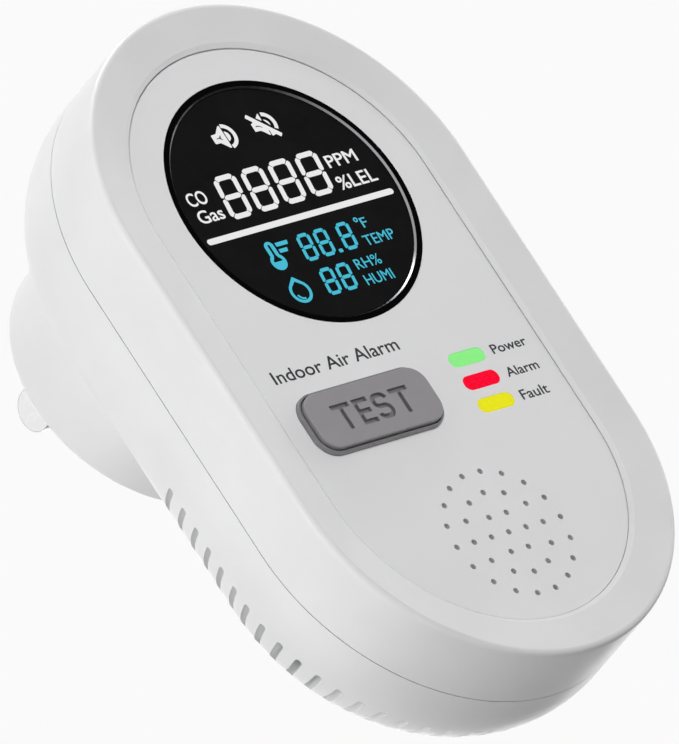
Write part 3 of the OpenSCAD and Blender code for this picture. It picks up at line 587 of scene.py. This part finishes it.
def solid_from_shapes(shapes, front_y, thickness):
    """Mesh of flat shapes; each one is a list of its outline and, after that, its holes."""
    whole = bmesh.new()
    for shape in shapes:
        work = bmesh.new()
        for loop in shape:
            corners = [work.verts.new((x * MM, front_y * MM, z * MM)) for x, z in loop]
            for start, end in zip(corners, corners[1:] + corners[:1]):
                work.edges.new((start, end))
        bmesh.ops.triangle_fill(work, use_beauty=True, use_dissolve=False, edges=work.edges[:])
        raise_faces(work, thickness)
        single = finished(work, "shape")
        whole.from_mesh(single)
        bpy.data.meshes.remove(single)
    return finished(whole, "shapes")


def letters(text):
    """Flat mesh of a word in the built-in font."""
    curve = bpy.data.curves.new("word", "FONT")
    curve.body = text
    curve.size = 1
    curve.resolution_u = 4
    holder = bpy.data.objects.new("word", curve)
    bpy.context.scene.collection.objects.link(holder)
    bpy.context.view_layer.update()
    graph = bpy.context.evaluated_depsgraph_get()
    mesh = bpy.data.meshes.new_from_object(holder.evaluated_get(graph))
    bpy.data.objects.remove(holder)
    bpy.data.curves.remove(curve)
    return mesh


# Height of a capital in the built-in font at size 1, and the step between a bold word's layers
FONT_CAP = 0.682
LAYER_STEP = 0.002


def add_layer(work, flat, start, scale, y):
    """Adds one flat copy of a word, from its lower left corner at start, at depth y."""
    left = min(v.co.x for v in flat.vertices)
    copy = flat.copy()
    for v in copy.vertices:
        x = start[0] + (v.co.x - left) * scale[0]
        z = start[1] + v.co.y * scale[1]
        v.co = (x * MM, y * MM, z * MM)
    work.from_mesh(copy)
    bpy.data.meshes.remove(copy)


def word_mesh(text, x0, x1, base_z, cap_height, front_y, thickness, bold):
    """Word with capitals cap_height tall, from x0 to x1; bold is what its strokes gain in width."""
    flat = letters(text)
    across = [v.co.x for v in flat.vertices]
    scale = ((x1 - x0 - bold) / (max(across) - min(across)), (cap_height - bold) / FONT_CAP)
    shifts = [(0, 0), (bold, 0), (0, bold), (bold, bold)] if bold else [(0, 0)]
    work = bmesh.new()
    for layer, (right, up) in enumerate(shifts):
        add_layer(work, flat, (x0 + right, base_z + up), scale, front_y - layer * LAYER_STEP)
    bpy.data.meshes.remove(flat)
    bmesh.ops.remove_doubles(work, verts=work.verts, dist=1e-7)
    bmesh.ops.dissolve_limit(work, angle_limit=0.02, verts=work.verts, edges=work.edges)
    raise_faces(work, thickness)
    return finished(work, "word")


def piece(name, meshes, material, body="housing"):
    """Joins meshes into one named piece that rides on a body."""
    work = bmesh.new()
    for mesh in meshes:
        work.from_mesh(mesh)
        bpy.data.meshes.remove(mesh)
    whole = finished(work, name)
    whole.materials.append(material)
    made = bpy.data.objects.new(name, whole)
    bpy.context.scene.collection.objects.link(made)
    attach(made, body)
    return made


# ---------- display ----------

# The symbols sit a little towards the upper right of the window's middle
DISPLAY_SHIFT = (0.27, 0.12)

LARGE_DIGIT = {"width": 4.35, "height": 7.2, "stroke": 0.92, "slant": 0.9, "gap": 0.06}
SMALL_DIGIT = {"width": 2.6, "height": 4.52, "stroke": 0.63, "slant": 0.55, "gap": 0.045}
# What the strokes of the white and of the cyan words gain in width
BOLD = 0.045
MEDIUM = 0.0


def on_lens(shapes):
    """Mesh of lit shapes on the lens, placed from the middle of the window."""
    shift_x = LENS_MID.x + DISPLAY_SHIFT[0]
    shift_z = LENS_MID.z + DISPLAY_SHIFT[1]
    placed = [[[(x + shift_x, z + shift_z) for x, z in loop] for loop in shape] for shape in shapes]
    return solid_from_shapes(placed, LENS_FACE - SYMBOL_T, SYMBOL_T)


def lens_word(text, x0, x1, base_z, cap_height, bold):
    return word_mesh(text, x0 + DISPLAY_SHIFT[0], x1 + DISPLAY_SHIFT[0], base_z + DISPLAY_SHIFT[1],
                     cap_height, LENS_FACE - SYMBOL_T, SYMBOL_T, bold)


def make_display(white, cyan):
    large_places = [-12.0 + 5.25 * i for i in range(4)]
    reading = digits(large_places, -0.4, **LARGE_DIGIT)
    piece("display_reading", [on_lens(reading)], white)
    piece("display_bar", [on_lens([[bar((-18.0, -2.57), (17.1, -2.57), 0.94)]])], white)
    words = [
        lens_word("CO", -17.4, -13.8, 3.25, 2.15, BOLD),
        lens_word("Gas", -17.4, -12.7, 0.33, 2.07, BOLD),
        lens_word("PPM", 9.6, 15.2, 3.3, 2.0, BOLD),
        lens_word("%LEL", 9.2, 16.4, -0.4, 2.15, BOLD),
    ]
    piece("display_units", words, white)
    piece("speaker_icon", [on_lens(speaker())], white)
    piece("mute_icon", [on_lens(muted_speaker())], white)
    make_temperature(cyan)
    make_humidity(cyan)


def speaker():
    """Loudspeaker with a small dark mark in its cone, a half disc and an outer sound wave."""
    middle_z = 12.25
    cone = [(-6.58, -0.74), (-5.62, -0.76), (-4.5, -1.86), (-4.24, -1.86),
            (-4.24, 1.86), (-4.5, 1.86), (-5.62, 0.76), (-6.58, 0.74)]
    mark = [(-5.96, -0.07), (-5.42, -0.08), (-5.08, -0.42), (-4.95, -0.36), (-5.12, 0.0),
            (-4.95, 0.36), (-5.08, 0.42), (-5.42, 0.08), (-5.96, 0.07)]
    cone = [(x, z + middle_z) for x, z in soft_outline(cone, 0.16)]
    mark = [(x, z + middle_z) for x, z in mark]
    disc = arc((-4.24, middle_z), 0.86, -76, 76, 14)
    wave = ring_strip((-4.3, middle_z), 1.78, 0.6, -81, 81, 24)
    return [[cone, mark], [soft_outline(disc, 0.08, 2)], [wave]]


def muted_speaker():
    """The loudspeaker crossed out: the bar joins its lower half and stays clear of its upper half."""
    crossed = [(0.9, 14.17), (1.75, 13.3), (1.6, 13.08), (1.25, 13.05), (1.25, 11.7), (2.2, 11.68),
               (2.55, 11.45), (3.3, 10.68), (3.5, 10.68), (3.5, 11.52), (3.72, 11.3), (3.68, 10.95),
               (3.68, 10.45), (4.05, 10.5), (4.42, 10.58), (5.02, 9.97), (5.48, 10.43), (1.36, 14.63)]
    mark = [(1.76, 12.34), (2.1, 12.38), (2.45, 12.25), (2.76, 12.02), (2.88, 12.13), (2.5, 12.42),
            (2.1, 12.57), (1.76, 12.52)]
    tip = [(2.7, 13.72), (3.36, 14.3), (3.45, 14.26), (3.45, 13.2), (3.36, 13.14)]
    middle = (3.58, 12.35)
    disc = arc(middle, 0.86, -16, 80, 12)
    wave = ring_strip(middle, 1.775, 0.6, -32, 80, 18)
    return [[soft_outline(crossed, 0.1, 2), mark], [tip], [disc], [wave]]


def thermometer():
    """Bulb and stem drawn as an outline, filled up to the level, with two scale marks beside it."""
    bulb, bulb_r = (-8.82, -8.26), 1.36
    stem_r, stem_top = 0.84, -5.69
    level = -8.2
    join = math.degrees(math.acos(stem_r / bulb_r))
    outline = arc((bulb[0], stem_top), stem_r, 0, 180, 14)
    outline += arc(bulb, bulb_r, 180 - join, 360 + join, 32)
    bore = arc((bulb[0], -5.55), 0.22, 0, 180, 6)
    flare = [(-0.22, -7.1), (-0.4, -7.5), (-0.78, -7.95), (-0.78, level)]
    bore += [(bulb[0] + x, z) for x, z in flare]
    bore += [(bulb[0] - x, z) for x, z in flare[::-1]]
    marks = [
        [(-7.58, -5.34), (-5.24, -5.34), (-5.4, -5.97), (-7.58, -5.97)],
        [(-7.58, -6.42), (-5.98, -6.42), (-6.12, -7.03), (-7.58, -7.03)],
    ]
    return [[outline, bore], *[[soft_outline(mark, 0.1, 3)] for mark in marks]]


def drop_outline(middle, radius, tip_z):
    """Round drop with a point at its top and slightly full sides."""
    reach = tip_z - middle[1]
    touch = math.degrees(math.asin(radius / reach)) - 8
    belly = arc(middle, radius, 180 - touch, 360 + touch, 30)
    return [(middle[0], tip_z), *belly]


def water_drop():
    middle = (-8.4, -13.48)
    outline = soft_outline(drop_outline(middle, 1.87, -10.95), 0.2, 4)
    inside = drop_outline(middle, 1.4, -11.75)
    glint = ring_strip((-8.3, -13.65), 0.98, 0.28, 194, 277, 8)
    return [[outline, inside], [glint]]


def make_temperature(cyan):
    shapes = digits([-4.08, -0.89, 3.49], -9.53, **SMALL_DIGIT)
    point = [(2.24, -9.46), (2.93, -9.46), (2.93, -8.9), (2.24, -8.9)]
    degree = (8.2, -5.3)
    shapes.append([soft_outline(point, 0.12, 3)])
    shapes.append([arc(degree, 0.4, 0, 340, 17), arc(degree, 0.2, 0, 340, 17)])
    words = [
        lens_word("F", 8.83, 9.88, -6.82, 1.6, MEDIUM),
        lens_word("TEMP", 7.42, 13.1, -9.6, 1.65, MEDIUM),
    ]
    lit = on_lens(shapes + thermometer())
    piece("temperature_reading", [lit, *words], cyan)


def make_humidity(cyan):
    shapes = digits([-4.0, -0.86], -15.4, **{**SMALL_DIGIT, "height": 4.45})
    words = [
        lens_word("RH%", 3.4, 8.15, -12.7, 1.65, MEDIUM),
        lens_word("HUMI", 3.4, 8.65, -15.4, 1.65, MEDIUM),
    ]
    piece("humidity_reading", [on_lens(shapes + water_drop()), *words], cyan)


# ---------- insect screen behind the vents ----------

# Rounding of the rear shell's inside: radius and depth of its middle, and its radius
REAR_ROUND = (16.1, -29.2, 14.2)
# Clearance to the wall, and thickness
SCREEN_GAP = 0.08
SCREEN_T = 0.2
# Part of the rounding that the screen covers, in degrees from the side towards the back
SCREEN_SPAN = (15, 62)
# Height of the screen's two ends
SCREEN_TOP_Z = -26.6
# Distance from the origin down to the middle of the shell's round lower end
END_GAP = 45.4


def screen_profile(steps=12):
    """Closed loop of [radius, depth] points through the screen."""
    middle_r, middle_y, inner = REAR_ROUND
    outer = arc((middle_r, middle_y), inner - SCREEN_GAP, *SCREEN_SPAN, steps)
    back = arc((middle_r, middle_y), inner - SCREEN_GAP - SCREEN_T, *SCREEN_SPAN, steps)
    return outer + back[::-1]


def screen_stations(steps=60):
    """Places along the screen: down one side, round the lower end and up the other side."""
    round_end = [math.radians(360 - 180 * i / steps) for i in range(steps + 1)]
    turns = [(math.cos(a), math.sin(a), -END_GAP) for a in round_end]
    return [(1, 0, SCREEN_TOP_Z), *turns, (-1, 0, SCREEN_TOP_Z)]


def make_vent_screen(cloth):
    """Keeps insects out of the case: one strip of cloth held against the wall behind the slots."""
    work = bmesh.new()
    profile = screen_profile()
    rows = []
    for way_x, way_z, base_z in screen_stations():
        row = [(r * way_x * MM, y * MM, (base_z + r * way_z) * MM) for r, y in profile]
        rows.append([work.verts.new(p) for p in row])
    count = len(profile)
    for row, following in zip(rows, rows[1:]):
        for i in range(count):
            k = (i + 1) % count
            work.faces.new((row[i], row[k], following[k], following[i]))
    work.faces.new(rows[0])
    work.faces.new(rows[-1][::-1])
    bmesh.ops.recalc_face_normals(work, faces=work.faces)
    piece("vent_screen", [finished(work, "screen")], cloth)


# ---------- print on the panel ----------

# What the strokes of the print gain in width
PRINT_BOLD = 0.04


def panel_word(text, x0, x1, base_z, cap_height):
    return word_mesh(text, x0, x1, base_z, cap_height, PANEL_FACE - PRINT_T, PRINT_T, PRINT_BOLD)


def make_print(ink):
    words = [
        panel_word("Power", 16.6, 23.2, -30.7, 1.5),
        panel_word("Alarm", 16.6, 22.7, -34.67, 1.5),
        panel_word("Fault", 16.6, 21.8, -38.6, 1.6),
    ]
    piece("light_names", words, ink)
    piece("title_line", [panel_word("Indoor Air Alarm", -22.3, 1.75, -26.05, 2.05)], ink)


# ---------- stage ----------

FLOOR_Z = -250
FLOOR_SIZE = 6000
# The floor's own light, which keeps it pale in every view
FLOOR_GLOW = 0.76

# Distance from the object's middle to each lamp, and the lamps' width
LAMP_DISTANCE = 700
LAMP_SIZE = 420
# Direction that each lamp stands in and its power in watts
LAMPS = {
    "front": ((-0.13, -0.99, 0.09), 2.45),
    "top": ((0.24, 0.0, 0.97), 2.87),
    "left": ((-1.0, 0.04, -0.03), 1.95),
    "right": ((0.96, -0.21, 0.21), 1.35),
    "rear_left_low": ((-0.78, 0.54, -0.32), 1.11),
    "rear_left_high": ((-0.83, 0.34, 0.44), 0.94),
    "rear_right": ((0.7, 0.7, 0.1), 1.3),
}
# Brightness of the surroundings: as the camera sees them, as light on the object, and as mirrored in it,
# on the bright and on the dark side
BACKDROP = 0.956
AMBIENT = 0.21
MIRRORED = 1.0
MIRRORED_DARK = 0.03
# Horizontal direction of the bright side, and where the change between the two sides starts and ends
BRIGHT_WAY = (-0.707, 0.707, 0)
DARK_EDGE = (-0.55, 0.05)


def floor_pale():
    """Pale seamless floor that is clear from underneath."""
    n = Nodes("floor_pale")
    n.blend_colour(n.noise(400, 2), (0.19, 0.19, 0.19), (0.21, 0.21, 0.21))
    n.set(Roughness=0.9, Specular_IOR_Level=0.1)
    n.set(Emission_Color=(1, 1, 1, 1), Emission_Strength=FLOOR_GLOW)
    under = n.add("ShaderNodeBsdfTransparent")
    pick = n.add("ShaderNodeMixShader")
    n.link(n.add("ShaderNodeNewGeometry").outputs["Backfacing"], pick.inputs["Fac"])
    n.link(n.shader.outputs["BSDF"], pick.inputs[1])
    n.link(under.outputs["BSDF"], pick.inputs[2])
    n.link(pick.outputs["Shader"], n.output.inputs["Surface"])
    return n.material


def make_floor():
    """Floor below the object, which neither shades it nor lights it."""
    mesh = bpy.data.meshes.new("floor")
    half = FLOOR_SIZE / 2 * MM
    z = FLOOR_Z * MM
    corners = [(-half, -half, z), (half, -half, z), (half, half, z), (-half, half, z)]
    mesh.from_pydata(corners, [], [(0, 1, 2, 3)])
    floor = bpy.data.objects.new("floor", mesh)
    bpy.context.scene.collection.objects.link(floor)
    mesh.materials.append(floor_pale())
    floor.visible_diffuse = False
    floor.visible_glossy = False
    floor.visible_shadow = False


def make_world():
    """White backdrop for the camera, and a studio that is dark at the front right in reflections."""
    world = bpy.data.worlds.new("studio")
    bpy.context.scene.world = world
    world.use_nodes = True
    tree = world.node_tree
    background = tree.nodes["Background"]
    background.inputs["Color"].default_value = (1, 1, 1, 1)
    path = tree.nodes.new("ShaderNodeLightPath")
    way = tree.nodes.new("ShaderNodeTexCoord")
    facing = tree.nodes.new("ShaderNodeVectorMath")
    facing.operation = "DOT_PRODUCT"
    facing.inputs[1].default_value = BRIGHT_WAY
    dark_side = tree.nodes.new("ShaderNodeMapRange")
    dark_side.interpolation_type = "SMOOTHSTEP"
    dark_side.inputs["From Min"].default_value = DARK_EDGE[0]
    dark_side.inputs["From Max"].default_value = DARK_EDGE[1]
    dark_side.inputs["To Min"].default_value = MIRRORED_DARK
    dark_side.inputs["To Max"].default_value = MIRRORED
    mirror = tree.nodes.new("ShaderNodeMix")
    mirror.inputs["A"].default_value = AMBIENT
    seen = tree.nodes.new("ShaderNodeMix")
    seen.inputs["B"].default_value = BACKDROP
    tree.links.new(way.outputs["Generated"], facing.inputs[0])
    tree.links.new(facing.outputs["Value"], dark_side.inputs["Value"])
    tree.links.new(dark_side.outputs["Result"], mirror.inputs["B"])
    tree.links.new(path.outputs["Is Glossy Ray"], mirror.inputs["Factor"])
    tree.links.new(mirror.outputs["Result"], seen.inputs["A"])
    tree.links.new(path.outputs["Is Camera Ray"], seen.inputs["Factor"])
    tree.links.new(seen.outputs["Result"], background.inputs["Strength"])


def make_lamps():
    middle = (CAD_BOX[0] + CAD_BOX[1]) / 2
    for name, (way, power) in LAMPS.items():
        data = bpy.data.lights.new(name, "AREA")
        data.shape = "SQUARE"
        data.size = LAMP_SIZE * MM
        data.energy = power
        lamp = bpy.data.objects.new(name, data)
        direction = Vector(way).normalized()
        lamp.location = middle + direction * LAMP_DISTANCE * MM
        lamp.rotation_mode = "QUATERNION"
        lamp.rotation_quaternion = direction.to_track_quat("Z", "Y")
        bpy.context.scene.collection.objects.link(lamp)


bpy.context.scene.view_settings.view_transform = "Standard"
make_camera()
make_world()
make_floor()
make_lamps()
dress_nodes()
SYMBOL_WHITE = lit_symbol("symbol_white", (0.93, 0.93, 0.93), 0.78)
SYMBOL_CYAN = lit_symbol("symbol_cyan", (0.056, 0.47, 0.62), 0.95)
make_display(SYMBOL_WHITE, SYMBOL_CYAN)
# The screen's last number is the strength of its painted glow.
make_vent_screen(woven_with_painted_glow("screen_cloth", (0.8, 0.8, 0.8), 0.1))
make_print(printed("print_grey", (0.022, 0.022, 0.023)))
